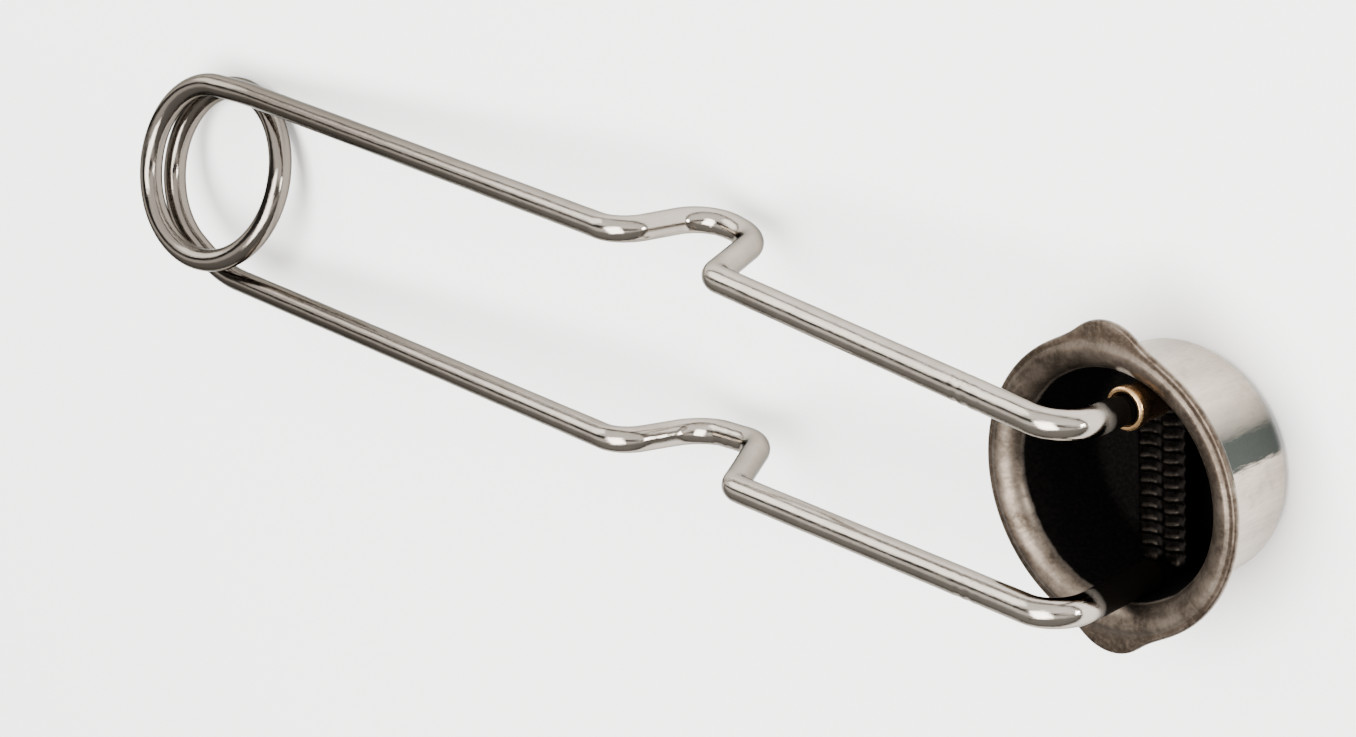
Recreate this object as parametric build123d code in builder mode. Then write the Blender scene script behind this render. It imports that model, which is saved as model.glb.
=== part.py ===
"""Cup-type flint striker for lighting gas burners.

Frame: millimetres, +Z up out of the cup's mouth, +X from the spring coil to the cup,
+Y from the arm fixed to the cup to the arm that carries the flint.  The origin is the
centre of the cup's flat underside, which stands on the bench with the coil's lowest turn.
"""
from build123d import *
from math import cos, hypot, pi, radians, sin
import os

# --- wire spring ---------------------------------------------------------------------
WIRE_R = 1.4                 # drawn spring wire, 2.8 mm thick
COIL_X, COIL_Y, COIL_Z = -147.0, 1.2, 5.76
COIL_R = 10.8                # mean radius of the coil
COIL_TURNS = 1.5
COIL_PITCH = 3.9             # 1.1 mm of air between turns
COIL_TILT = 18.3             # lean of the coil's axis towards the flint arm, degrees
COIL_LEAN = 5.6              # and towards the cup
FIXED_CUT = 28.0             # degrees short of the full turns, where the fixed arm leaves
JOIN_GAP = 0.2               # air between the coil's ends and the two arms
FIXED_EXIT, FLINT_EXIT = 5.9, 5.9          # straight wire before each arm's first corner

# --- arms ----------------------------------------------------------------------------
ARM_LOW_Z, ARM_TOP_Z = 5.8, 20.9           # height of the arms' plane at the coil and the cup
# Finger grips: x where the wire dips, x of the dip's floor, x where it is back up.
FLINT_GRIP_X = (-62.3, -59.4, -51.9, -46.7)
FIXED_GRIP_X = (-64.0, -60.2, -51.0, -44.6)
FLINT_GRIP_DEPTH, FIXED_GRIP_DEPTH = 10.6, 9.4
GRIP_RADII = (3.7, 4.7, 4.7, 2.4)
FLINT_Y = (12.2, 11.1)       # centre line behind the grip and just in front of it
FIXED_Y = (-11.1, -10.4)
END_BEND_R = 3.7
FIXED_EXIT_R, FLINT_EXIT_R = 18.0, 45.0

# --- where the two arms turn down into the cup ---------------------------------------
FLINT_LEG = (2.4, 8.4)
FIXED_LEG_TOP = (1.7, -9.5)
FIXED_LEG_FOOT = (1.6, -9.1) # the leg leans in with the cup's wall
FIXED_LEG_END_Z = 7.3        # clear of the file's teeth

# --- cup -----------------------------------------------------------------------------
CUP_H = 12.6                 # height of the mouth above the bench
SHEET = 0.8                  # cup sheet
CUP_BASE_R = 11.2            # outer wall radius at the base
CUP_TOP_R = 11.8             # outer wall radius under the flange
CUP_CORNER_R = 2.0           # outer corner between base and wall
LIP_R = 1.8                  # corner between wall and flange, on the sheet's middle
FLANGE_R = 14.2
EAR_APEX = 16.9              # corner of each ear before it is rounded to a tip at 15.8
EAR_HALF_W = 9.6
EAR_ROOT = 10.0
EAR_TIP_R = 5.0
EAR_NECK_R = 9.0
CUP_TURN = 1.5               # the ears' and the file's turn about Z, degrees
EDGE_R = 0.25

# --- file ----------------------------------------------------------------------------
FILE_W = 5.4
FILE_X = 1.2                 # middle of the strip, towards the side the flint runs on
FILE_SHEET = 0.9
FILE_TOP_Z = 6.2             # top of the strip between its teeth
FILE_LOW_Y, FILE_HIGH_Y = -9.2, 9.2        # middle of the sheet at the two corners
FILE_FOOT_IN = 1.6           # how far the feet lean in under the bridge
FILE_BEND_R = 1.2
TOOTH_H = 0.45
TOOTH_PITCH = 1.2
TOOTH_FIRST_Y, TOOTH_LAST_Y = -8.6, 7.0

# --- flint and its brass holder ------------------------------------------------------
THREAD_TOP_Z = 13.5
THREAD_END_Z = 10.7
THREAD_R, THREAD_ROOT_R = 1.22, 1.02
THREAD_PITCH = 0.55
BORE_CLEARANCE = 0.06
HOLDER_TOP_Z, HOLDER_END_Z = 13.1, 8.3
COLLAR_R, COLLAR_H = 2.05, 1.0
HOLDER_R = 1.8
HOLDER_WEB = 0.3             # brass between the thread's bore and the flint's bore
FLINT_R = 1.25
FLINT_GAP = 0.15             # flint to tooth tips

COIL_CENTRE = Vector(COIL_X, COIL_Y, COIL_Z)
COIL_AXIS = Vector(
    sin(radians(COIL_LEAN)), sin(radians(COIL_TILT)), cos(radians(COIL_TILT))
).normalized()
COIL_OUT = (Vector(1, 0, 0) - COIL_AXIS * COIL_AXIS.X).normalized()
COIL_SIDE = COIL_AXIS.cross(COIL_OUT)
HALF_HEIGHT = COIL_PITCH * COIL_TURNS / 2


def coil_point(turn):
    """Point on the coil's centre line, by degrees from its fixed arm's side."""
    a = radians(turn)
    climb = COIL_AXIS * (COIL_PITCH * turn / 360 - HALF_HEIGHT)
    return COIL_CENTRE + climb - (COIL_SIDE * cos(a) + COIL_OUT * sin(a)) * COIL_R


def coil_heading(turn):
    """Direction of the wire there, on the way up."""
    a = radians(turn)
    climb = COIL_AXIS * (COIL_PITCH / (2 * pi))
    return (climb + (COIL_SIDE * sin(a) - COIL_OUT * cos(a)) * COIL_R).normalized()


def arm_z(x):
    """Height of the arms' common plane at x."""
    return ARM_LOW_Z + (ARM_TOP_Z - ARM_LOW_Z) * (x - COIL_X) / (FLINT_LEG[0] - COIL_X)


def arm_path(coil_end, away, leave, grip_x, depth, sides, leg_top, leg_foot):
    """Corner points of one arm, from the coil to the end of its leg."""
    dip, floor_rear, floor_front, rise = grip_x
    rear_y, front_y = sides
    return [
        coil_end + away * JOIN_GAP,
        coil_end + away * leave,
        (dip, rear_y, arm_z(dip)),
        (floor_rear, rear_y, arm_z(floor_rear) - depth),
        (floor_front, front_y, arm_z(floor_front) - depth),
        (rise, front_y, arm_z(rise)),
        (*leg_top, arm_z(leg_top[0])),
        leg_foot,
    ]


def wire(points, radii):
    """Round wire along a path of straight runs and tangent arcs."""
    with BuildPart() as rod:
        with BuildLine() as path:
            FilletPolyline(*points, radius=radii)
        with BuildSketch(Plane(origin=path.line @ 0, z_dir=path.line % 0)):
            Circle(WIRE_R)
        sweep()
    return rod.part


def make_torsion_coil():
    """About one and a half turns of the same wire, left-handed from the fixed arm up."""
    a = radians(FIXED_CUT)
    start_height = COIL_PITCH * FIXED_CUT / 360
    coil_plane = Plane(
        origin=COIL_CENTRE + COIL_AXIS * (start_height - HALF_HEIGHT),
        x_dir=(COIL_SIDE * cos(a) + COIL_OUT * sin(a)) * -1,
        z_dir=COIL_AXIS,
    )
    with BuildPart() as coil:
        with BuildLine():
            turns = Helix(COIL_PITCH, 2 * HALF_HEIGHT - start_height, COIL_R, lefthand=True)
        with BuildSketch(Plane(origin=turns @ 0, z_dir=turns % 0)):
            Circle(WIRE_R)
        sweep(path=turns, is_frenet=True)
    return coil_plane.location * coil.part


def make_cup_arm():
    """Arm whose end runs down the cup's inner wall, where it is welded."""
    points = arm_path(
        coil_point(FIXED_CUT), coil_heading(FIXED_CUT) * -1, FIXED_EXIT, FIXED_GRIP_X,
        FIXED_GRIP_DEPTH, FIXED_Y, FIXED_LEG_TOP, (*FIXED_LEG_FOOT, FIXED_LEG_END_Z)
    )
    with BuildPart() as arm:
        add(wire(points, [FIXED_EXIT_R, *GRIP_RADII, END_BEND_R]))
        end = arm.faces().sort_by_distance((*FIXED_LEG_FOOT, FIXED_LEG_END_Z))[0]
        chamfer(end.edges(), 0.3)
    return arm.part


def make_flint_arm():
    """Arm that ends in a thread for the flint holder."""
    last = COIL_TURNS * 360
    points = arm_path(
        coil_point(last), coil_heading(last), FLINT_EXIT, FLINT_GRIP_X,
        FLINT_GRIP_DEPTH, FLINT_Y, FLINT_LEG, (*FLINT_LEG, THREAD_TOP_Z)
    )
    ridges = round((THREAD_TOP_Z - THREAD_END_Z) / THREAD_PITCH)
    pitch = (THREAD_TOP_Z - THREAD_END_Z) / ridges
    with BuildPart() as arm:
        add(wire(points, [FLINT_EXIT_R, *GRIP_RADII, END_BEND_R]))
        with BuildSketch(Plane(origin=(*FLINT_LEG, 0), x_dir=(1, 0, 0), z_dir=(0, -1, 0))):
            with BuildLine():
                edge = [(0, THREAD_TOP_Z), (THREAD_ROOT_R, THREAD_TOP_Z)]
                for ridge in range(ridges):
                    low = THREAD_TOP_Z - ridge * pitch
                    edge += [(THREAD_R, low - 0.4 * pitch), (THREAD_R, low - 0.6 * pitch)]
                    edge += [(THREAD_ROOT_R, low - pitch)]
                edge += [(0, THREAD_END_Z)]
                Polyline(*edge, close=True)
            make_face()
        revolve(axis=Axis((*FLINT_LEG, 0), (0, 0, 1)))
    return arm.part


def flange_outline():
    """Round flange with two opposite rounded ears."""
    with BuildSketch() as outline:
        Circle(FLANGE_R)
        for side in (1, -1):
            with BuildSketch(mode=Mode.PRIVATE) as ear:
                with BuildLine():
                    Polyline(
                        (EAR_HALF_W, side * EAR_ROOT),
                        (0, side * EAR_APEX),
                        (-EAR_HALF_W, side * EAR_ROOT),
                        close=True,
                    )
                make_face()
                fillet(ear.vertices().sort_by(Axis.Y)[-1 if side > 0 else 0], EAR_TIP_R)
            add(ear.sketch)
        necks = [v for v in outline.vertices() if abs(hypot(v.X, v.Y) - FLANGE_R) < 1e-3]
        fillet(necks, EAR_NECK_R)
    return outline.sketch


def make_cup():
    """Drawn steel cup: flat base, slightly tapered wall, rolled lip, flange with two ears."""
    half = SHEET / 2
    with BuildPart() as cup:
        with BuildSketch(Plane.XZ):
            with BuildLine() as section:
                FilletPolyline(
                    (0, half),
                    (CUP_BASE_R - half, half),
                    (CUP_TOP_R - half, CUP_H - half),
                    (FLANGE_R - 0.3, CUP_H - half),
                    radius=[CUP_CORNER_R - half, LIP_R],
                )
            trace(section.line, line_width=SHEET)
        revolve(axis=Axis.Z)
        with BuildSketch(Plane.XY.offset(CUP_H - SHEET)):
            add(flange_outline())
            Circle(FLANGE_R - 0.6, mode=Mode.SUBTRACT)
        extrude(amount=SHEET)
        rim = [e for e in cup.edges() if edge_is_rim(e)]
        fillet(rim, EDGE_R)
    return Rot(0, 0, CUP_TURN) * cup.part


def edge_is_rim(edge):
    """True for the flange's outer edges, top and bottom."""
    middle = edge @ 0.5
    flat = edge.bounding_box().size.Z < 1e-3
    outside = hypot(middle.X, middle.Y) > FLANGE_R - 0.1
    return flat and outside and middle.Z > CUP_H - SHEET - 1e-3


def make_file_strip():
    """Hardened strip bent into a bridge across the cup, with cross-cut teeth on top."""
    middle_z = FILE_TOP_Z - FILE_SHEET / 2
    with BuildPart() as strip:
        with BuildSketch(Plane.YZ):
            with BuildLine() as side_view:
                FilletPolyline(
                    (FILE_LOW_Y + FILE_FOOT_IN, 0),
                    (FILE_LOW_Y, middle_z),
                    (FILE_HIGH_Y, middle_z),
                    (FILE_HIGH_Y - FILE_FOOT_IN, 0),
                    radius=FILE_BEND_R,
                )
            trace(side_view.line, line_width=FILE_SHEET)
        extrude(amount=FILE_W / 2, both=True)
        split(bisect_by=Plane.XY.offset(SHEET), keep=Keep.TOP)
        teeth = round((TOOTH_LAST_Y - TOOTH_FIRST_Y) / TOOTH_PITCH)
        with BuildSketch(Plane.YZ):
            with BuildLine():
                ridge = [(TOOTH_FIRST_Y, FILE_TOP_Z - 0.1), (TOOTH_FIRST_Y, FILE_TOP_Z)]
                for tooth in range(teeth):
                    start = TOOTH_FIRST_Y + tooth * TOOTH_PITCH
                    ridge += [(start + 0.35 * TOOTH_PITCH, FILE_TOP_Z + TOOTH_H)]
                    ridge += [(start + 0.55 * TOOTH_PITCH, FILE_TOP_Z + TOOTH_H)]
                    ridge += [(start + TOOTH_PITCH, FILE_TOP_Z)]
                ridge += [(TOOTH_FIRST_Y + teeth * TOOTH_PITCH, FILE_TOP_Z - 0.1)]
                Polyline(*ridge, close=True)
            make_face()
        extrude(amount=FILE_W / 2, both=True)
    return Rot(0, 0, CUP_TURN) * Pos(FILE_X, 0, 0) * strip.part


def round_post(profile):
    """Solid of revolution about the flint leg's axis from (radius, z) corners."""
    with BuildPart() as post:
        with BuildSketch(Plane(origin=(*FLINT_LEG, 0), x_dir=(1, 0, 0), z_dir=(0, -1, 0))):
            with BuildLine():
                Polyline(*profile, close=True)
            make_face()
        revolve(axis=Axis((*FLINT_LEG, 0), (0, 0, 1)))
    return post.part


def make_flint_holder():
    """Brass sleeve: threads onto the arm from above, grips the flint from below."""
    bore = THREAD_R + BORE_CLEARANCE
    bore_end = THREAD_END_Z - 0.1
    web_end = bore_end - HOLDER_WEB
    collar_end = HOLDER_TOP_Z - COLLAR_H
    return round_post([
        (bore, HOLDER_TOP_Z), (COLLAR_R - 0.25, HOLDER_TOP_Z), (COLLAR_R, HOLDER_TOP_Z - 0.25),
        (COLLAR_R, collar_end), (HOLDER_R, collar_end - 0.2), (HOLDER_R, HOLDER_END_Z + 0.5),
        (HOLDER_R - 0.3, HOLDER_END_Z), (FLINT_R, HOLDER_END_Z), (FLINT_R, web_end),
        (0, web_end), (0, bore_end), (bore, bore_end),
    ])


def make_flint():
    """Ferrocerium rod pressed into the holder."""
    top = THREAD_END_Z - 0.1 - HOLDER_WEB
    tip = FILE_TOP_Z + TOOTH_H + FLINT_GAP
    return round_post([(0, top), (FLINT_R, top), (FLINT_R, tip + 0.25),
                       (FLINT_R - 0.25, tip), (0, tip)])


PIECES = {
    "cup": make_cup,
    "file_strip": make_file_strip,
    "cup_arm": make_cup_arm,
    "torsion_coil": make_torsion_coil,
    "flint_arm": make_flint_arm,
    "flint_holder": make_flint_holder,
    "flint": make_flint,
}

os.makedirs("parts", exist_ok=True)
for name, make in PIECES.items():
    piece = make()
    piece.label = name
    export_step(piece, f"parts/{name}.step")
    box = piece.bounding_box()
    print(name, round(piece.volume, 1), "mm3", box.min, box.max)
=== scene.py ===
"""Looks of the cup-type flint striker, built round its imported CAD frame.

Lengths are millimetres until a mesh is made, which is in metres.  The wire's route
repeats the driving dimensions of the CAD part.
"""

from math import atan2, ceil, cos, hypot, pi, radians, sin, tan

import bpy
from mathutils import Matrix, Vector


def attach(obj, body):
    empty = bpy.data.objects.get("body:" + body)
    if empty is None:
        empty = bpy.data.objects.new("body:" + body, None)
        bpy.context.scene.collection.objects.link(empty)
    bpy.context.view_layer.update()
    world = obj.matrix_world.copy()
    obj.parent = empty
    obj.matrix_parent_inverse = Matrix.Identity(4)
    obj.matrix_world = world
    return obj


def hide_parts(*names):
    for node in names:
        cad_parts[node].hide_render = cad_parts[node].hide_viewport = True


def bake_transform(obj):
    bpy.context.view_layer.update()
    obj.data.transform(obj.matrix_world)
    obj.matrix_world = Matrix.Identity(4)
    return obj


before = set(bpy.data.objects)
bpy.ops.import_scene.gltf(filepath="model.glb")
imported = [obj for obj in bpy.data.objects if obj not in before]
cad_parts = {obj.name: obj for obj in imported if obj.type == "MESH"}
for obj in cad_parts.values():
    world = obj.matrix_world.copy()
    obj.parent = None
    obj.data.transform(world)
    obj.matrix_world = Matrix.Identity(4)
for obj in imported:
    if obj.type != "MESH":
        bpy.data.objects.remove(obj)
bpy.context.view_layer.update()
MM = 0.001
SHARP_ANGLE = radians(50)

# --- wire ------------------------------------------------------------------------------
WIRE_R = 1.4
COIL_CENTRE = Vector((-147.0, 1.2, 5.76))
COIL_R, COIL_TURNS, COIL_PITCH = 10.8, 1.5, 3.9
COIL_TILT, COIL_LEAN = radians(18.3), radians(5.6)
FIXED_CUT = 28.0
FIXED_EXIT, FLINT_EXIT = 5.9, 5.9
ARM_LOW_Z, ARM_TOP_Z = 5.8, 20.9
FLINT_GRIP_X, FLINT_GRIP_DEPTH = (-62.3, -59.4, -51.9, -46.7), 10.6
FIXED_GRIP_X, FIXED_GRIP_DEPTH = (-64.0, -60.2, -51.0, -44.6), 9.4
GRIP_RADII = (3.7, 4.7, 4.7, 2.4)
FLINT_Y, FIXED_Y = (12.2, 11.1), (-11.1, -10.4)
END_BEND_R, FIXED_EXIT_R, FLINT_EXIT_R = 3.7, 18.0, 45.0
FLINT_LEG = (2.4, 8.4)
FIXED_LEG_TOP, FIXED_LEG_FOOT = (1.7, -9.5), (1.6, -9.1)
FIXED_LEG_END_Z = 7.3
THREAD_TOP_Z, THREAD_END_Z = 13.5, 10.7
THREAD_R, THREAD_ROOT_R, THREAD_PITCH = 1.22, 1.02, 0.55
WIRE_STEP = 0.45             # spacing of the rings along the wire
WIRE_SIDES = 40
# Marks of the bending tools: x, depth, half width
NICKS = ((-57.5, 0.07, 0.35), (-55.0, 0.05, 0.3), (-10.6, 0.1, 0.35), (-9.2, 0.1, 0.4), (-7.6, 0.06, 0.3))

# --- cup -------------------------------------------------------------------------------
CUP_H, SHEET = 12.6, 0.8
CUP_BASE_R, CUP_TOP_R, CUP_CORNER_R, LIP_R = 11.2, 11.8, 2.0, 1.8
FLANGE_R, FLANGE_DROP = 14.2, 0.16
EAR_APEX, EAR_HALF_W, EAR_ROOT, EAR_TIP_R = 16.9, 9.6, 10.0, 5.0
NECK_BLEND = 0.5
CUP_TURN = radians(1.5)
CUP_SIDES = 360

# --- file, holder and flint ------------------------------------------------------------
FILE_W, FILE_X, FILE_SHEET, FILE_TOP_Z = 5.4, 1.2, 0.9, 6.2
FILE_LOW_Y, FILE_HIGH_Y, FILE_FOOT_IN, FILE_BEND_R = -9.2, 9.2, 1.6, 1.2
TOOTH_H, TOOTH_PITCH, TOOTH_FIRST_Y, TOOTH_LAST_Y = 0.45, 1.2, -8.6, 7.0
HOLDER_TOP_Z, HOLDER_END_Z, HOLDER_R = 13.1, 8.3, 1.8
COLLAR_R, COLLAR_H = 2.05, 1.0
FLINT_R, FLINT_GAP = 1.25, 0.15

# --- soot and wear ---------------------------------------------------------------------
SOOT_AND_SHADE_LINE, SOOT_AND_SHADE_FADE = 18.8, 4.0                      # top of the smoke and painted shade on the legs
LIT_SPOT_R, LIT_SPOT_TURN, LIT_SPOT_Z = 11.3, radians(80), 11.6   # pale painted lit spot on the lip's inner side
LIT_SPOT_HALF_W, LIT_SPOT_HALF_H, LIT_SPOT_LIMIT_R = 1.8, 1.2, 12.4
PAINTED_REFLECTION_START, PAINTED_REFLECTION_END = (0.26, 0.31), (0.52, 0.84)     # painted dark reflection band up the wall, radians


# --- meshes ----------------------------------------------------------------------------
def new_piece(name, points, faces, material, slot, *nodes):
    """Smooth mesh object in metres that stands for the given CAD nodes."""
    mesh = bpy.data.meshes.new(name)
    mesh.from_pydata([Vector(p) * MM for p in points], [], faces)
    mesh.validate()
    mesh.polygons.foreach_set("use_smooth", [True] * len(mesh.polygons))
    mesh.set_sharp_from_angle(angle=SHARP_ANGLE)
    piece = bpy.data.objects.new(name, mesh)
    bpy.context.scene.collection.objects.link(piece)
    piece.data.materials.append(material)
    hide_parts(*nodes)
    return piece


def point_value(piece, name, values):
    """Stores one number per vertex for the materials to read."""
    piece.data.attributes.new(name, "FLOAT", "POINT").data.foreach_set("value", values)


def rings_to_faces(rings, sides, closed_ends=True):
    """Quads between rings of equal size, counted from index 0, and the two end caps."""
    faces = []
    for ring in range(rings - 1):
        low, high = ring * sides, (ring + 1) * sides
        for side in range(sides):
            turn = (side + 1) % sides
            faces.append((low + side, low + turn, high + turn, high + side))
    if closed_ends:
        faces.append(tuple(reversed(range(sides))))
        faces.append(tuple(range((rings - 1) * sides, rings * sides)))
    return faces


def filleted(corners, radii, step):
    """Dense points along straight runs joined by tangent arcs."""
    corners = [Vector(c) for c in corners]
    route = [corners[0]]
    for before, corner, after, radius in zip(corners, corners[1:], corners[2:], radii):
        back, ahead = (before - corner).normalized(), (after - corner).normalized()
        turn = pi - back.angle(ahead)
        start = corner + back * radius * tan(turn / 2)
        centre = corner + (back + ahead).normalized() * radius / cos(turn / 2)
        first = (start - centre).normalized()
        other = (corner + ahead * radius * tan(turn / 2) - centre).normalized()
        last, n = route[-1], steps(route[-1], start, step)
        route += [last.lerp(start, k / n) for k in range(1, n)]
        count = max(6, ceil(radius * turn / step))
        for k in range(count + 1):
            share = k / count
            lean = (first * sin((1 - share) * turn) + other * sin(share * turn)).normalized()
            route.append(centre + lean * radius)
    last, n = route[-1], steps(route[-1], corners[-1], step)
    route += [last.lerp(corners[-1], k / n) for k in range(1, n + 1)]
    return route


def steps(start, end, step):
    """How many steps of about that length fit between two points."""
    return max(1, round((end - start).length / step))


def tube(name, route, sides, radius_at, material, *nodes):
    """Round wire along the route, with its length and angle stored on each vertex."""
    points, along, around_x, around_y = [], [], [], []
    tangent = (route[1] - route[0]).normalized()
    out = (Vector((0, 0, 1)) - tangent * tangent.z).normalized()
    length = 0.0
    for index, centre in enumerate(route):
        ahead = route[min(index + 1, len(route) - 1)]
        behind = route[max(index - 1, 0)]
        length += (centre - behind).length
        fresh = (ahead - behind).normalized()
        out = tangent.rotation_difference(fresh) @ out
        out = (out - fresh * out.dot(fresh)).normalized()
        tangent = fresh
        side_way = tangent.cross(out)
        for side in range(sides):
            angle = 2 * pi * side / sides
            radius = radius_at(length, angle, centre)
            points.append(centre + (out * cos(angle) + side_way * sin(angle)) * radius)
            along.append(length)
            around_x.append(cos(angle))
            around_y.append(sin(angle))
    piece = new_piece(name, points, rings_to_faces(len(route), sides), material, "plated_wire", *nodes)
    point_value(piece, "along", along)
    point_value(piece, "around_x", around_x)
    point_value(piece, "around_y", around_y)
    point_value(piece, "soot_and_shade", [leg_soot_and_shade(p) for p in points])
    return piece


def leg_soot_and_shade(point):
    """Smoke and painted shade on the legs: 1 inside the cup, fading out above its mouth."""
    inside = hypot(point.x, point.y) < CUP_TOP_R
    share = min(1.0, max(0.0, (SOOT_AND_SHADE_LINE - point.z) / SOOT_AND_SHADE_FADE))
    return share * share * (3 - 2 * share) if inside else 0.0


# --- wire ------------------------------------------------------------------------------
COIL_AXIS = Vector((sin(COIL_LEAN), sin(COIL_TILT), cos(COIL_TILT))).normalized()
COIL_OUT = (Vector((1, 0, 0)) - COIL_AXIS * COIL_AXIS.x).normalized()
COIL_SIDE = COIL_AXIS.cross(COIL_OUT)


def coil_point(turn):
    """Point on the coil's centre line, by degrees from its fixed arm's side."""
    climb = COIL_AXIS * COIL_PITCH * (turn / 360 - COIL_TURNS / 2)
    swing = COIL_SIDE * cos(radians(turn)) + COIL_OUT * sin(radians(turn))
    return COIL_CENTRE + climb - swing * COIL_R


def coil_heading(turn):
    """Direction of the wire there, on the way up."""
    swing = COIL_SIDE * sin(radians(turn)) - COIL_OUT * cos(radians(turn))
    return (COIL_AXIS * COIL_PITCH / (2 * pi) + swing * COIL_R).normalized()


LAST_TURN = 360 * COIL_TURNS
FLINT_END, FIXED_END = coil_point(LAST_TURN), coil_point(FIXED_CUT)


def arm_z(x):
    """Height of the arms' common plane at x."""
    share = (x - COIL_CENTRE.x) / (FLINT_LEG[0] - COIL_CENTRE.x)
    return ARM_LOW_Z + (ARM_TOP_Z - ARM_LOW_Z) * share


def arm_route(coil_end, away, leave, exit_r, grip_x, depth, sides, leg_top, leg_foot):
    """Dense centre line of one arm, from the coil to the end of its leg."""
    dip, floor_rear, floor_front, rise = grip_x
    rear_y, front_y = sides
    corners = [
        coil_end,
        coil_end + away * leave,
        (dip, rear_y, arm_z(dip)),
        (floor_rear, rear_y, arm_z(floor_rear) - depth),
        (floor_front, front_y, arm_z(floor_front) - depth),
        (rise, front_y, arm_z(rise)),
        (*leg_top, arm_z(leg_top[0])),
        leg_foot,
    ]
    return filleted(corners, [exit_r, *GRIP_RADII, END_BEND_R], WIRE_STEP)


def coil_route():
    """Centre line of the coil, from the fixed arm's end up to the flint arm's."""
    swept = LAST_TURN - FIXED_CUT
    count = ceil(radians(swept) * COIL_R / WIRE_STEP)
    return [coil_point(FIXED_CUT + swept * k / count) for k in range(count + 1)]


def bell(x, centre, width):
    """Smooth bump of height 1 and the given half width."""
    share = min(1.0, abs(x - centre) / width)
    return (1 - share * share) ** 2


def plain_wire(length, angle, centre):
    """Drawn wire's radius, true to a few hundredths of a millimetre."""
    return WIRE_R + 0.006 * sin(length * 0.31) + 0.004 * sin(length * 0.83 + 2 * angle)


def bent_wire(length, angle, centre):
    """Wire that the bending tools have nicked beside the grip and the end bend."""
    radius = plain_wire(length, angle, centre)
    for x, depth, width in NICKS:
        on_inside = 0.5 + 0.5 * cos(angle - 0.6)
        radius -= depth * bell(centre.x, x, width) * on_inside
    return radius


def flint_wire(length, angle, centre):
    """The same wire with the thread cut on the end of its leg."""
    cut = min(1.0, max(0.0, (THREAD_TOP_Z + 0.25 - centre.z) / 0.5))
    if hypot(centre.x - FLINT_LEG[0], centre.y - FLINT_LEG[1]) > 0.2 or cut == 0:
        return bent_wire(length, angle, centre)
    phase = (centre.z / THREAD_PITCH + angle / (2 * pi)) % 1
    ridge = 1 - abs(2 * phase - 1)
    thread = THREAD_ROOT_R + (THREAD_R - THREAD_ROOT_R) * min(1, 1.6 * ridge)
    return WIRE_R + (thread - WIRE_R) * cut


def with_fine_thread(route):
    """Closer rings along the threaded end, so that its ridges are drawn."""
    top = [p for p in route if p.z > THREAD_TOP_Z + 0.4 or p.x < FLINT_LEG[0] - 0.5]
    count = ceil((top[-1].z - THREAD_END_Z) / 0.06)
    end = Vector((*FLINT_LEG, THREAD_END_Z))
    return top + [top[-1].lerp(end, k / count) for k in range(1, count + 1)]


def rounded_end(radius_at, end, reach):
    """The same radius, drawn in over the last reach before the end point."""
    def radius(length, angle, centre):
        left = max(0.0, (centre - end).length)
        share = min(1.0, left / reach)
        return radius_at(length, angle, centre) - 0.3 * (1 - (1 - (1 - share) ** 2) ** 0.5)
    return radius


def make_wire(material):
    """The one bent wire, in the three pieces that the joints need."""
    coil = tube("wire_coil", coil_route(), WIRE_SIDES, plain_wire, material, "torsion_coil")
    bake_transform(coil)

    foot = Vector((*FIXED_LEG_FOOT, FIXED_LEG_END_Z))
    route = arm_route(
        FIXED_END, -coil_heading(FIXED_CUT), FIXED_EXIT, FIXED_EXIT_R, FIXED_GRIP_X,
        FIXED_GRIP_DEPTH, FIXED_Y, FIXED_LEG_TOP, foot
    )
    fixed = tube("wire_cup_arm", route, WIRE_SIDES, rounded_end(bent_wire, foot, 0.5), material, "cup_arm")
    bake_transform(fixed)

    route = arm_route(
        FLINT_END, coil_heading(LAST_TURN), FLINT_EXIT, FLINT_EXIT_R, FLINT_GRIP_X,
        FLINT_GRIP_DEPTH, FLINT_Y, FLINT_LEG, (*FLINT_LEG, THREAD_TOP_Z)
    )
    route = with_fine_thread(route)
    flint = tube("wire_flint_arm", route, WIRE_SIDES, flint_wire, material, "flint_arm")
    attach(flint, "flint_side")


# --- cup -------------------------------------------------------------------------------
def rim_radius(angle):
    """Distance from the cup's axis to the flange's edge, ears included."""
    off = abs((angle + pi) % pi - pi / 2)
    half = atan2(EAR_HALF_W, EAR_APEX - EAR_ROOT)
    tip_y = EAR_APEX - EAR_TIP_R / sin(half)
    reach = EAR_APEX * sin(half) / sin(half + min(off, pi / 2 - half))
    tangent = atan2(EAR_TIP_R * cos(half), tip_y + EAR_TIP_R * sin(half))
    if off < tangent:
        reach = tip_y * cos(off) + (EAR_TIP_R ** 2 - (tip_y * sin(off)) ** 2) ** 0.5
    gap = max(0.0, NECK_BLEND - abs(reach - FLANGE_R)) / NECK_BLEND
    return max(reach, FLANGE_R) + gap * gap * NECK_BLEND / 4


def arc(centre, radius, start, end, count):
    """Points of a profile's arc, as (radius from the axis, height)."""
    turns = [radians(start + (end - start) * k / count) for k in range(count + 1)]
    return [(centre[0] + radius * cos(t), centre[1] + radius * sin(t)) for t in turns]


def spread(start, end, count):
    """Points between two profile points, both ends left out."""
    shares = [k / (count + 1) for k in range(1, count + 1)]
    return [(start[0] + (end[0] - start[0]) * t, start[1] + (end[1] - start[1]) * t) for t in shares]


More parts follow.
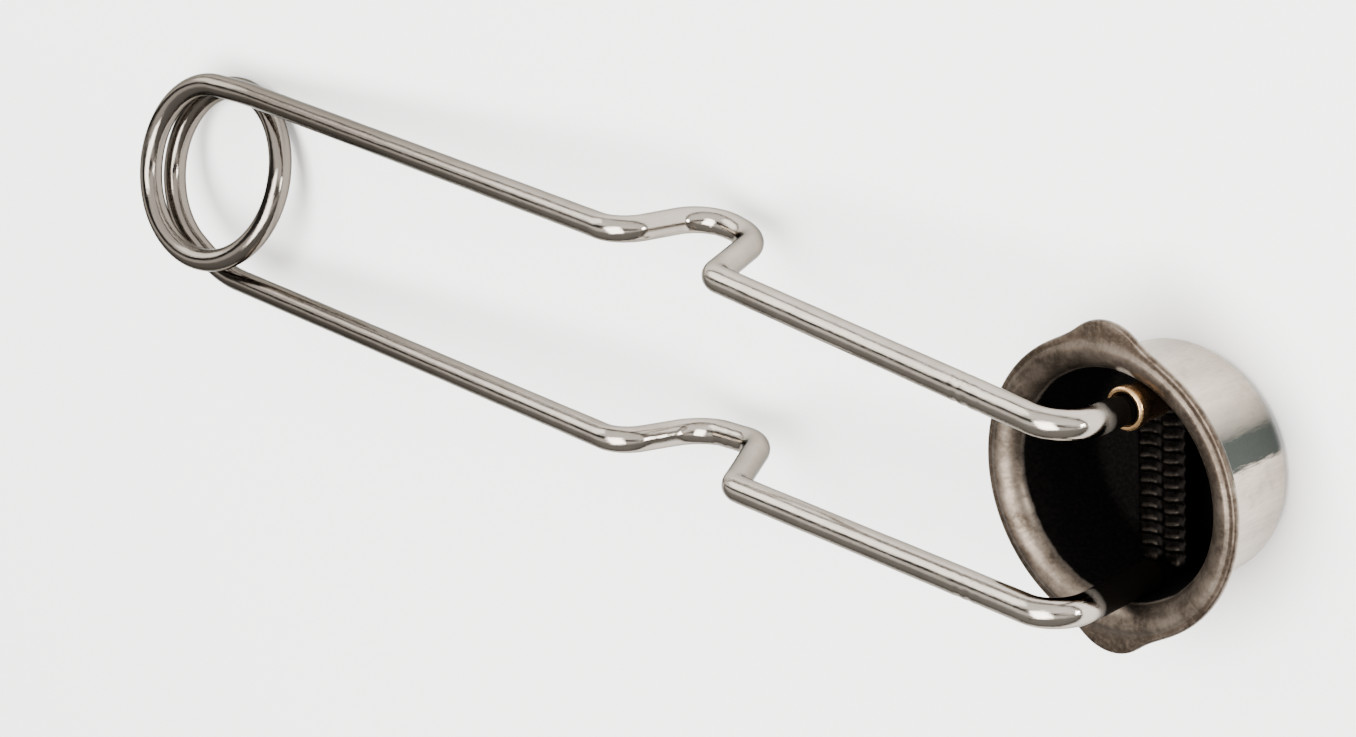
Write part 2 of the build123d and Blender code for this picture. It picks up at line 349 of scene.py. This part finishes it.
def cup_profile():
    """Closed section from the underside's middle over the rim to the inside's middle.

    Each point is (radius, height, share of the ears' reach, heat tint, smoke and painted shade).
    """
    outer_corner = (CUP_BASE_R - CUP_CORNER_R, CUP_CORNER_R)
    inner_corner_r = CUP_CORNER_R - SHEET
    under = LIP_R - SHEET / 2
    over = LIP_R + SHEET / 2
    lip_centre = (CUP_TOP_R + under, CUP_H - SHEET - under)
    edge = 0.3
    flat_z = CUP_H - FLANGE_DROP
    section = []

    def lay(points, reach, heat, soot_and_shade):
        for r, z in points:
            section.append((r, z, reach, heat, soot_and_shade))

    lay(spread((0, 0), (outer_corner[0], 0), 8), 0, 0, 0)
    lay(arc(outer_corner, CUP_CORNER_R, -90, 0, 10), 0, 0, 0)
    lay(spread((CUP_BASE_R, CUP_CORNER_R), (CUP_TOP_R, lip_centre[1]), 12), 0, 0, 0)
    lay(arc(lip_centre, under, 180, 90, 8), 0, 0.15, 0)
    rim_low = (FLANGE_R - edge, flat_z - SHEET)
    lay(spread((lip_centre[0], CUP_H - SHEET), rim_low, 3), 0.5, 0.4, 0)
    lay(arc((FLANGE_R - edge, flat_z - SHEET + edge), edge, -90, 0, 5), 1, 0.5, 0)
    lay(arc((FLANGE_R - edge, flat_z - edge), edge, 0, 90, 5), 1, 0.9, 0)
    crest = (lip_centre[0] - 0.1, CUP_H)
    lay(spread((FLANGE_R - edge, flat_z), (crest[0] + 0.5, flat_z), 4), 0.55, 1, 0)
    lay([(crest[0] + 0.4, flat_z + 0.02), (crest[0] + 0.15, CUP_H - 0.03)], 0.0, 0.8, 0)
    # The lip's lower part and the whole inside take smoke and painted shade.
    lip = arc((crest[0] - 0.05, CUP_H - over), over, 88, 180, 16)
    for k, point in enumerate(lip):
        lay([point], 0, 0.85, max(0.0, (k - 11) / 4))
    wall_top = lip[-1]
    inner_corner = (CUP_BASE_R - SHEET - inner_corner_r, SHEET + inner_corner_r)
    lay(spread(wall_top, (CUP_BASE_R - SHEET, inner_corner[1]), 12), 0, 0.3, 1)
    lay(arc(inner_corner, inner_corner_r, 0, -90, 8), 0, 0.3, 1)
    lay(spread((inner_corner[0], SHEET), (0, SHEET), 8), 0, 0.3, 1)
    return section


def make_cup(material):
    """Drawn cup with a rolled lip and a flange whose two ears it was spun with."""
    section = cup_profile()
    points, heat, soot_and_shade, painted_lit_spot = [], [], [], []
    for r, z, reach, tint, black in section:
        for side in range(CUP_SIDES):
            angle = 2 * pi * side / CUP_SIDES
            wobble = 0.03 * sin(3 * angle + 1) * (z / CUP_H)
            radius = r + reach * (rim_radius(angle) - FLANGE_R) + wobble
            turned = angle + CUP_TURN
            points.append((radius * cos(turned), radius * sin(turned), z))
            # Painted lit spot: a pale matte patch on the inner lip.
            across = LIT_SPOT_R * (angle - LIT_SPOT_TURN)
            lit_spot_mask = bell(across, 0, LIT_SPOT_HALF_W) * bell(z, LIT_SPOT_Z, LIT_SPOT_HALF_H)
            heat.append(tint)
            soot_and_shade.append(black)
            painted_lit_spot.append(lit_spot_mask if tint > 0 and r < LIT_SPOT_LIMIT_R else 0.0)
    faces = rings_to_faces(len(section), CUP_SIDES)
    cup = new_piece("cup_shell", points, faces, material, "cup_steel", "cup")
    point_value(cup, "heat_tint", heat)
    point_value(cup, "soot_and_shade", soot_and_shade)
    point_value(cup, "painted_lit_spot", painted_lit_spot)
    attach(cup, "cup_side")


# --- file ------------------------------------------------------------------------------
def tooth_height(y, x):
    """Height of the worn cross-cut teeth above the strip at a point on top of it."""
    if not TOOTH_FIRST_Y <= y <= TOOTH_LAST_Y:
        return 0.0
    phase = ((y - TOOTH_FIRST_Y + 0.12 * sin(2.1 * x)) / TOOTH_PITCH) % 1
    slope = phase / 0.35 if phase < 0.35 else max(0.0, 1 - (phase - 0.45) / 0.55)
    fade = min(1, (y - TOOTH_FIRST_Y) / 0.4, (TOOTH_LAST_Y - y) / 0.4)
    groove = 1 - 0.75 * bell(x, 0.1, 0.55)
    edge = min(1, (FILE_W / 2 - abs(x)) / 0.7)
    row = int((y - TOOTH_FIRST_Y) / TOOTH_PITCH)
    chipped = 1 - 0.22 * (0.5 + 0.5 * sin(row * 12.9 + x * 2.3))
    return TOOTH_H * min(1, slope) * max(0, fade) * groove * max(0, edge) * chipped


def make_file(material):
    """Bridge of hardened strip across the cup, with the teeth cut into its top."""
    middle = FILE_TOP_Z - FILE_SHEET / 2
    corners = [
        (0, FILE_LOW_Y + FILE_FOOT_IN * (1 - SHEET / middle), SHEET + 0.02),
        (0, FILE_LOW_Y, middle),
        (0, FILE_HIGH_Y, middle),
        (0, FILE_HIGH_Y - FILE_FOOT_IN * (1 - SHEET / middle), SHEET + 0.02),
    ]
    route = filleted(corners, [FILE_BEND_R, FILE_BEND_R], 0.1)
    across = [FILE_W * (k / 44 - 0.5) for k in range(45)]
    half, edge = FILE_SHEET / 2, 0.08
    points, wear = [], []
    for index, centre in enumerate(route):
        ahead, behind = route[min(index + 1, len(route) - 1)], route[max(index - 1, 0)]
        tangent = (ahead - behind).normalized()
        up = Vector((1, 0, 0)).cross(tangent)
        for x in across:
            bevel = edge if abs(x) > FILE_W / 2 - 0.01 else 0
            lift = tooth_height(centre.y, x) if up.z > 0.9 else 0
            points.append(centre + up * (half - bevel + lift) + Vector((x, 0, 0)))
            wear.append(min(1, lift / TOOTH_H))
        for x in reversed(across):
            bevel = edge if abs(x) > FILE_W / 2 - 0.01 else 0
            points.append(centre - up * (half - bevel) + Vector((x, 0, 0)))
            wear.append(0)
    turned = Matrix.Rotation(CUP_TURN, 3, "Z")
    points = [turned @ (p + Vector((FILE_X, 0, 0))) for p in points]
    faces = rings_to_faces(len(route), 2 * len(across))
    strip = new_piece("file_teeth", points, faces, material, "file_steel", "file_strip")
    point_value(strip, "wear", wear)
    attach(strip, "cup_side")


# --- holder and flint ------------------------------------------------------------------
def turned_piece(name, profile, sides, material, slot, node):
    """Solid of revolution about the flint leg, from (radius, height) points."""
    points = []
    profile = [(r, z) for r, z in profile if r > 0.01]      # the end caps close the middle
    for r, z in profile:
        for side in range(sides):
            angle = 2 * pi * side / sides
            points.append((FLINT_LEG[0] + r * cos(angle), FLINT_LEG[1] + r * sin(angle), z))
    piece = new_piece(name, points, rings_to_faces(len(profile), sides), material, slot, node)
    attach(piece, "holder")


def eased(profile, radius, count):
    """Profile with each inner corner rounded, so that turned edges catch the light."""
    corners = [Vector((r, 0, z)) for r, z in profile]
    rounded = [corners[0]]
    for before, corner, after in zip(corners, corners[1:], corners[2:]):
        cut = min(radius, 0.4 * (corner - before).length, 0.4 * (after - corner).length)
        start = corner + (before - corner).normalized() * cut
        end = corner + (after - corner).normalized() * cut
        for k in range(count + 1):
            t = k / count
            rounded.append(start * (1 - t) ** 2 + corner * 2 * t * (1 - t) + end * t * t)
    rounded.append(corners[-1])
    return [(p.x, p.z) for p in rounded]


def make_holder(brass, flint):
    """Brass sleeve with a collar, and the flint pressed into its lower end."""
    bore = THREAD_R + 0.06
    bore_end = THREAD_END_Z - 0.1
    web = bore_end - 0.3
    collar_end = HOLDER_TOP_Z - COLLAR_H
    sleeve = [
        (0, bore_end), (bore, bore_end), (bore, HOLDER_TOP_Z - 0.55), (bore + 0.3, HOLDER_TOP_Z - 0.1),
        (bore + 0.34, HOLDER_TOP_Z), (COLLAR_R - 0.2, HOLDER_TOP_Z), (COLLAR_R, HOLDER_TOP_Z - 0.2),
        (COLLAR_R, collar_end + 0.1), (HOLDER_R, collar_end - 0.15), (HOLDER_R, HOLDER_END_Z + 0.5),
        (HOLDER_R - 0.3, HOLDER_END_Z), (FLINT_R + 0.01, HOLDER_END_Z), (FLINT_R + 0.01, web), (0, web),
    ]
    outline = eased(list(reversed(sleeve)), 0.1, 4)
    turned_piece("brass_sleeve", outline, 96, brass, "holder_brass", "flint_holder")
    tip = FILE_TOP_Z + TOOTH_H + FLINT_GAP
    top = web - 0.02
    rod = [(0, tip), (FLINT_R * 0.8, tip + 0.02), (FLINT_R, tip + 0.28), (FLINT_R, top), (0, top)]
    turned_piece("flint_rod", eased(rod, 0.12, 4), 64, flint, "flint_alloy", "flint")


# --- materials -------------------------------------------------------------------------
class Finish:
    """A material's node tree, built from the shader outwards."""

    def __init__(self, name, **sockets):
        self.material = bpy.data.materials.new(name)
        self.material.use_nodes = True
        self.tree = self.material.node_tree
        self.shader = self.tree.nodes["Principled BSDF"]
        for socket, value in sockets.items():
            self.shader.inputs[socket.replace("_", " ")].default_value = value

    def node(self, kind, inputs=(), **settings):
        """Adds a node; inputs maps its sockets to values or to other nodes' outputs."""
        node = self.tree.nodes.new("ShaderNode" + kind)
        for key, value in settings.items():
            setattr(node, key, value)
        for socket, value in dict(inputs).items():
            self.feed(node.inputs[socket], value)
        return node

    def feed(self, socket, value):
        """Links an output to the socket, or sets its value."""
        if isinstance(value, bpy.types.NodeSocket):
            self.tree.links.new(value, socket)
        else:
            socket.default_value = value

    def drive(self, socket, value):
        """Sets or links one of the shader's own sockets."""
        self.feed(self.shader.inputs[socket], value)

    def math(self, operation, a, b=0.0):
        """One arithmetic step on numbers or outputs."""
        return self.node("Math", {0: a, 1: b}, operation=operation).outputs[0]

    def value(self, name):
        """A number stored on the vertices."""
        return self.node("Attribute", attribute_name=name).outputs["Fac"]

    def place(self):
        """The point's position in metres."""
        return self.node("TexCoord").outputs["Object"]

    def noise(self, vector, scale, detail=4.0, roughness=0.5):
        """Fractal noise of about 0.2 to 0.8."""
        inputs = {"Vector": vector, "Scale": scale, "Detail": detail, "Roughness": roughness}
        return self.node("TexNoise", inputs).outputs["Fac"]

    def scaled(self, fac, low, high, out_low=0.0, out_high=1.0):
        """Maps low..high to out_low..out_high, and holds the ends."""
        inputs = {0: fac, 1: low, 2: high, 3: out_low, 4: out_high}
        return self.node("MapRange", inputs).outputs[0]

    def mix(self, fac, a, b):
        """Colour a where fac is 0, b where it is 1."""
        node = self.node("Mix", data_type="RGBA")
        self.feed(node.inputs[0], fac)
        self.feed(node.inputs[6], a if isinstance(a, bpy.types.NodeSocket) else (*a, 1))
        self.feed(node.inputs[7], b if isinstance(b, bpy.types.NodeSocket) else (*b, 1))
        return node.outputs[2]

    def bump(self, height, depth, strength=1.0, under=None):
        """Normal from a height of 0 to 1, where 1 stands for that depth in metres."""
        inputs = {"Height": height, "Distance": depth, "Strength": strength}
        if under is not None:
            inputs["Normal"] = under
        return self.node("Bump", inputs).outputs[0]


def plated_wire():
    """Bright nickel over drawn wire: fine draw lines, faint clouding and specks, a painted dark reflection
    towards the coil end, and the legs blackened inside the cup by smoke and painted shade.
    """
    finish = Finish("plated_wire_finish", Metallic=1.0, Specular_Tint=(0.34, 0.35, 0.35, 1))
    along = finish.math("MULTIPLY", finish.value("along"), 0.02)
    across = {0: finish.value("around_x"), 1: finish.value("around_y")}
    line_space = finish.node("CombineXYZ", {**across, 2: along}).outputs[0]
    lines = finish.noise(line_space, 14.0, 6.0, 0.65)
    cloud = finish.noise(finish.place(), 260.0, 3.0)
    specks = finish.scaled(finish.noise(finish.place(), 1900.0, 2.0), 0.68, 0.76)
    # Painted dark reflection: the wire darkens towards the coil end, from x -52 mm to -115 mm.
    back = finish.node("SeparateXYZ", {0: finish.place()}).outputs[0]
    painted_dark_reflection = finish.scaled(back, -0.052, -0.115)
    tone = finish.mix(finish.scaled(cloud, 0.35, 0.7), (0.315, 0.282, 0.245), (0.26, 0.231, 0.20))
    tone = finish.mix(finish.scaled(lines, 0.45, 0.8, 0, 0.35), tone, (0.20, 0.176, 0.152))
    tone = finish.mix(finish.math("MULTIPLY", painted_dark_reflection, 0.8), tone, (0.115, 0.10, 0.086))
    tone = finish.mix(finish.math("MULTIPLY", specks, 0.35), tone, (0.16, 0.135, 0.115))
    # Smoke and painted shade: the legs go near-black and matte inside the cup.
    soot_and_shade = finish.math("ADD", finish.value("soot_and_shade"), finish.scaled(cloud, 0.3, 0.7, -0.15, 0.15))
    soot_and_shade = finish.scaled(soot_and_shade, 0.15, 0.85)
    finish.drive("Base Color", finish.mix(soot_and_shade, tone, (0.002, 0.0016, 0.0013)))
    finish.drive("Metallic", finish.scaled(soot_and_shade, 0.3, 1.0, 1.0, 0.0))
    finish.drive("Specular IOR Level", finish.scaled(soot_and_shade, 0.3, 1.0, 0.5, 0.02))
    shine = finish.scaled(lines, 0.3, 0.75, 0.035, 0.12)
    finish.drive("Roughness", finish.math("ADD", shine, finish.math("MULTIPLY", soot_and_shade, 0.35)))
    ripple = finish.bump(finish.noise(finish.place(), 420.0, 2.0), 0.00002)
    finish.drive("Normal", finish.bump(lines, 0.000012, 1.0, ripple))
    return finish.material


def cup_steel():
    """Satin drawn steel with lines up the wall, a painted dark reflection band on it, a brown flange, a
    near-black inside from smoke and painted shade, and a pale painted lit spot on the inner lip.
    """
    finish = Finish("cup_steel_finish")
    place = finish.node("SeparateXYZ", {0: finish.place()})
    flat = finish.node("CombineXYZ", {0: place.outputs[0], 1: place.outputs[1]}).outputs[0]
    round_way = finish.node("VectorMath", {0: flat}, operation="NORMALIZE").outputs[0]
    up = finish.node("CombineXYZ", {2: finish.math("MULTIPLY", place.outputs[2], 12.0)}).outputs[0]
    line_space = finish.node("VectorMath", {0: round_way, 1: up}, operation="ADD").outputs[0]
    fine = finish.noise(line_space, 46.0, 7.0, 0.7)
    broad = finish.noise(line_space, 5.0, 3.0, 0.55)
    grain = finish.noise(finish.place(), 2600.0, 3.0, 0.6)
    patch = finish.noise(finish.place(), 420.0, 5.0, 0.6)

    steel = finish.mix(finish.scaled(broad, 0.35, 0.65), (0.43, 0.37, 0.31), (0.33, 0.283, 0.235))
    steel = finish.mix(finish.scaled(fine, 0.45, 0.72, 0, 0.45), steel, (0.22, 0.187, 0.155))
    # Painted reflection: a dark band up the wall, set by the angle round the cup.
    turn = finish.math("ARCTAN2", place.outputs[1], place.outputs[0])
    streaked = finish.math("ADD", turn, finish.scaled(fine, 0.3, 0.7, -0.03, 0.03))
    begun = finish.scaled(streaked, *PAINTED_REFLECTION_START)
    band = finish.math("MULTIPLY", begun, finish.scaled(streaked, *PAINTED_REFLECTION_END, 1, 0))
    steel = finish.mix(band, steel, (0.022, 0.026, 0.023))
    tinted = finish.mix(finish.scaled(patch, 0.35, 0.65), (0.075, 0.055, 0.041), (0.035, 0.026, 0.019))
    tinted = finish.mix(finish.scaled(grain, 0.45, 0.7, 0, 0.5), tinted, (0.125, 0.10, 0.078))
    heat = finish.math("ADD", finish.value("heat_tint"), finish.scaled(patch, 0.3, 0.7, -0.12, 0.12))
    metal = finish.mix(finish.scaled(heat, 0.02, 0.95), steel, tinted)
    # Smoke and painted shade: the inside goes near-black and matte.
    soot_and_shade = finish.math("ADD", finish.value("soot_and_shade"), finish.scaled(patch, 0.3, 0.7, -0.2, 0.2))
    soot_and_shade = finish.scaled(soot_and_shade, 0.1, 0.75)
    soot_and_shade_tone = finish.mix(finish.scaled(grain, 0.4, 0.7), (0.0010, 0.0008, 0.0008), (0.003, 0.0025, 0.0022))
    # Painted lit spot: pale matte grey standing for light on the inner lip.
    painted_lit_spot = finish.math("MULTIPLY", finish.value("painted_lit_spot"), finish.scaled(patch, 0.35, 0.65, 0.45, 1.5))
    painted_lit_spot = finish.scaled(painted_lit_spot, 0.3, 0.55)
    painted_lit_spot = finish.math("MULTIPLY", painted_lit_spot, finish.scaled(grain, 0.3, 0.6, 0.45, 1.0))
    finish.drive("Base Color", finish.mix(painted_lit_spot, finish.mix(soot_and_shade, metal, soot_and_shade_tone), (0.20, 0.175, 0.15)))
    painted_matte = finish.math("MAXIMUM", soot_and_shade, painted_lit_spot)
    finish.drive("Metallic", finish.scaled(painted_matte, 0.0, 1.0, 1.0, 0.0))
    finish.drive("Specular IOR Level", finish.scaled(soot_and_shade, 0.3, 1.0, 0.5, 0.02))
    satin = finish.scaled(fine, 0.3, 0.7, 0.24, 0.40)
    dull = finish.math("MULTIPLY", finish.value("heat_tint"), 0.12)
    soot_and_shade_roughness = finish.math("MULTIPLY", soot_and_shade, 0.45)
    finish.drive("Roughness", finish.math("ADD", finish.math("ADD", satin, dull), soot_and_shade_roughness))
    relief = finish.bump(grain, 0.00001, 0.6)
    finish.drive("Normal", finish.bump(fine, 0.00002, 0.8, relief))
    return finish.material


def file_steel():
    """Dark hardened steel, rubbed bright where the flint drags over the teeth."""
    finish = Finish("file_steel_finish", Metallic=1.0, Specular_Tint=(0.3, 0.3, 0.3, 1))
    grain = finish.noise(finish.place(), 1700.0, 5.0, 0.65)
    tone = finish.mix(finish.scaled(grain, 0.35, 0.7), (0.0015, 0.0013, 0.0012), (0.005, 0.0042, 0.0038))
    rubbed = finish.math("MULTIPLY", finish.scaled(finish.value("wear"), 0.55, 0.95), grain)
    tone = finish.mix(rubbed, tone, (0.034, 0.028, 0.023))
    finish.drive("Base Color", tone)
    finish.drive("Roughness", finish.scaled(grain, 0.3, 0.7, 0.38, 0.62))
    finish.drive("Normal", finish.bump(grain, 0.00004))
    return finish.material


def holder_brass():
    """Turned brass with lathe rings and brown tarnish in patches."""
    finish = Finish("holder_brass_finish", Metallic=1.0)
    height = finish.node("SeparateXYZ", {0: finish.place()}).outputs[2]
    rings = finish.math("SINE", finish.math("MULTIPLY", height, 52000.0))
    patch = finish.noise(finish.place(), 900.0, 5.0, 0.6)
    tone = finish.mix(finish.scaled(patch, 0.38, 0.66), (0.56, 0.35, 0.17), (0.24, 0.145, 0.07))
    finish.drive("Base Color", tone)
    finish.drive("Roughness", finish.scaled(patch, 0.3, 0.7, 0.18, 0.36))
    finish.drive("Normal", finish.bump(rings, 0.000004))
    return finish.material


def flint_alloy():
    """Matt grey-black ferrocerium with a crumbly skin."""
    finish = Finish("flint_alloy_finish", Metallic=0.6)
    grain = finish.noise(finish.place(), 2400.0, 6.0, 0.7)
    finish.drive("Base Color", finish.mix(grain, (0.10, 0.095, 0.09), (0.24, 0.23, 0.22)))
    finish.drive("Roughness", finish.scaled(grain, 0.3, 0.7, 0.5, 0.8))
    finish.drive("Normal", finish.bump(grain, 0.00006))
    return finish.material


def pale_floor():
    """Plain white studio sheet."""
    finish = Finish("floor_finish", Roughness=0.9)
    cloud = finish.noise(finish.place(), 9.0, 2.0)
    finish.drive("Base Color", finish.mix(cloud, (0.95, 0.95, 0.945), (0.965, 0.965, 0.96)))
    return finish.material


# --- studio ----------------------------------------------------------------------------
CAMERA_AT = (161.5, 101.72, 207.8)
CAMERA_TURN = (-22.022, 47.202, -3.481)      # degrees about X, Y and Z
LENS = 80.8
AIM = Vector((-60, 0, 10))


def make_camera():
    """Camera at the viewing angle, in front of the cup and above it."""
    data = bpy.data.cameras.new("camera")
    data.lens, data.sensor_width = LENS, 36
    data.clip_start, data.clip_end = 0.01, 20
    camera = bpy.data.objects.new("camera", data)
    camera.location = Vector(CAMERA_AT) * MM
    camera.rotation_euler = [radians(turn) for turn in CAMERA_TURN]
    bpy.context.scene.collection.objects.link(camera)
    bpy.context.scene.camera = camera


def make_floor():
    """Floor under the cup's base and the coil."""
    mesh = bpy.data.meshes.new("floor")
    reach = 3.0
    corners = [(-reach, -reach, 0), (reach, -reach, 0), (reach, reach, 0), (-reach, reach, 0)]
    mesh.from_pydata(corners, [], [(0, 1, 2, 3)])
    floor = bpy.data.objects.new("floor", mesh)
    floor.data.materials.append(pale_floor())
    bpy.context.scene.collection.objects.link(floor)


def soft_light(name, azimuth, elevation, distance, width, height, brightness, colour=(1, 1, 1)):
    """Rectangular lamp aimed at the wire's middle; brightness is its face's radiance."""
    data = bpy.data.lights.new(name, "AREA")
    data.shape = "RECTANGLE"
    data.size, data.size_y = width, height
    data.energy = brightness * pi * width * height
    data.color = colour
    lamp = bpy.data.objects.new(name, data)
    flat = cos(radians(elevation))
    way = Vector((cos(radians(azimuth)) * flat, sin(radians(azimuth)) * flat, sin(radians(elevation))))
    lamp.location = AIM * MM + way * distance
    lamp.rotation_euler = way.to_track_quat("Z", "Y").to_euler()
    bpy.context.scene.collection.objects.link(lamp)


def make_world():
    """Pale room with a dark band across its ceiling, dim on the -Y side."""
    world = bpy.data.worlds.new("room")
    bpy.context.scene.world = world
    world.use_nodes = True
    tree = world.node_tree
    sky = tree.nodes["Background"]
    way = tree.nodes.new("ShaderNodeTexCoord")
    parts = tree.nodes.new("ShaderNodeSeparateXYZ")
    angle = tree.nodes.new("ShaderNodeMath")
    angle.operation = "ARCTAN2"
    share = tree.nodes.new("ShaderNodeMath")
    share.operation = "DIVIDE"
    share.inputs[1].default_value = pi
    ramp = tree.nodes.new("ShaderNodeValToRGB")
    tree.links.new(way.outputs["Generated"], parts.inputs[0])
    tree.links.new(parts.outputs[2], angle.inputs[0])
    tree.links.new(parts.outputs[1], angle.inputs[1])
    tree.links.new(angle.outputs[0], share.inputs[0])
    tree.links.new(share.outputs[0], ramp.inputs[0])
    tree.links.new(ramp.outputs[0], sky.inputs[0])
    # Half turns from the +Y horizon over the top to the -Y one, and the grey there.
    # The first two reuse the ramp's own end stops.
    stops = [
        (0.0, 0.06), (1.0, 0.03), (0.035, 0.06), (0.06, 0.85), (0.34, 1.0), (0.365, 0.04),
        (0.46, 0.04), (0.49, 0.7), (0.58, 0.66), (0.63, 0.22), (0.92, 0.16),
    ]
    ends = list(ramp.color_ramp.elements)
    for position, grey in stops:
        stop = ends.pop(0) if ends else ramp.color_ramp.elements.new(position)
        stop.color = (grey, grey * 0.985, grey * 0.96, 1)
    sky.inputs[1].default_value = 3.2


make_wire(plated_wire())
make_cup(cup_steel())
make_file(file_steel())
make_holder(holder_brass(), flint_alloy())
make_floor()
make_world()
make_camera()
soft_light("overhead", 20, 78, 0.9, 0.8, 0.6, 21.0, (1, 0.985, 0.965))
soft_light("rear", 141, 24, 0.9, 0.5, 0.45, 4.6, (1, 0.985, 0.96))
soft_light("spark", 10, 9, 0.6, 0.07, 0.07, 110.0)

bpy.context.view_layer.update()
